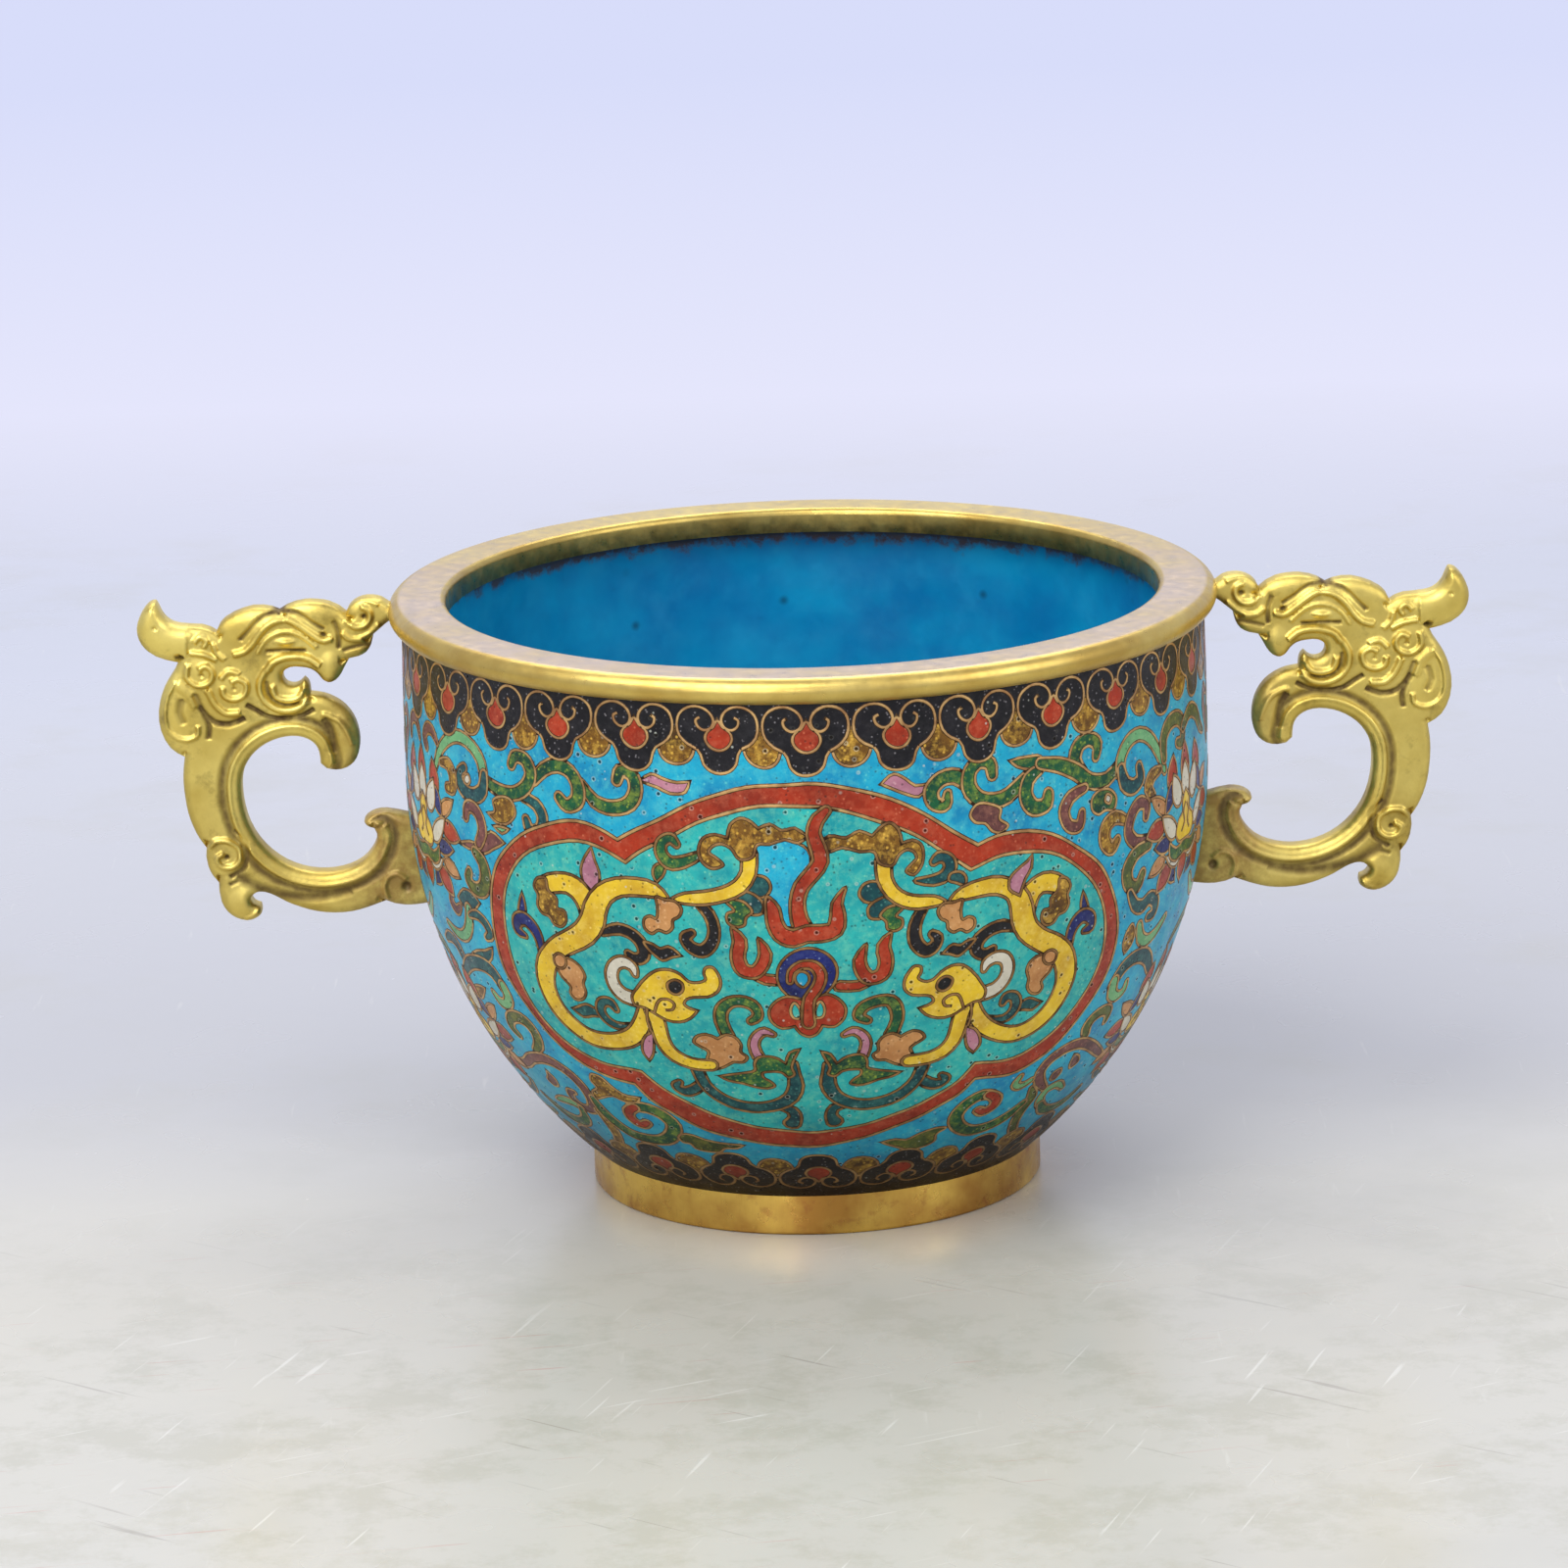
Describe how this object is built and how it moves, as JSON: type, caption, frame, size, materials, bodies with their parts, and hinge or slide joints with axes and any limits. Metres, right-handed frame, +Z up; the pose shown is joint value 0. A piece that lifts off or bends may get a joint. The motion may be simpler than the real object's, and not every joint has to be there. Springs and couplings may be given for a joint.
{
  "type": "two-handled cup",
  "caption": "Round-bellied enamelled metal cup on a low ring foot, with a broad rim ring and a pierced dragon-head handle on each side.",
  "frame": {"origin": "centre of the foot ring's rest face, on the cup's axis", "axes": "+Z up along the cup's axis, +X through the right handle, -Y towards the front panel"},
  "size_m": [0.177, 0.11, 0.081],
  "materials": {
    "raised_copper": "beaten copper, dull, brown with age",
    "gilt_bronze": "fire-gilt cast bronze, worn and softly polished",
    "gilt_wire": "gilt copper wire, ground flush with the enamel",
    "lining_enamel": "opaque blue enamel, glossy with dark pits",
    "base_enamel": "opaque blue counter-enamel, slightly dull",
    "sky_enamel": "opaque sky-blue enamel, pitted",
    "turquoise_enamel": "opaque turquoise enamel, pitted",
    "red_enamel": "opaque brick-red enamel",
    "yellow_enamel": "opaque yellow enamel",
    "black_enamel": "near-black enamel with pale specks",
    "amber_enamel": "translucent amber enamel with a coppery glitter",
    "navy_enamel": "dark blue enamel",
    "green_enamel": "dark green enamel with pale flecks",
    "white_enamel": "off-white and pink enamel"
  },
  "bodies": {
    "root": {"copper_body": "raised_copper", "inner_enamel": "lining_enamel", "base_enamel": "base_enamel", "rim_ring": "gilt_bronze", "foot_ring": "gilt_bronze", "left_handle": "gilt_bronze", "right_handle": "gilt_bronze", "sky_ground_enamel": "sky_enamel", "upper_border_enamel": "black_enamel", "upper_border_drops": "red_enamel", "upper_border_lobes": "amber_enamel", "upper_border_wires": "gilt_wire", "lower_border_enamel": "black_enamel", "lower_border_drops": "red_enamel", "lower_border_lobes": "amber_enamel", "lower_border_wires": "gilt_wire", "front_panel_band": "red_enamel", "front_panel_wires": "gilt_wire", "front_panel_ground": "turquoise_enamel", "front_dragons": "yellow_enamel", "front_pearl": "navy_enamel", "front_flames": "red_enamel", "front_motif_wires": "gilt_wire", "back_panel_band": "red_enamel", "back_panel_wires": "gilt_wire", "back_panel_ground": "turquoise_enamel", "back_dragons": "yellow_enamel", "back_pearl": "navy_enamel", "back_flames": "red_enamel", "back_motif_wires": "gilt_wire", "lotus_petals": "white_enamel", "lotus_hearts": "yellow_enamel", "lotus_wires": "gilt_wire", "vine_scrolls": "green_enamel", "vine_wires": "gilt_wire"}
  },
  "joints": []
}
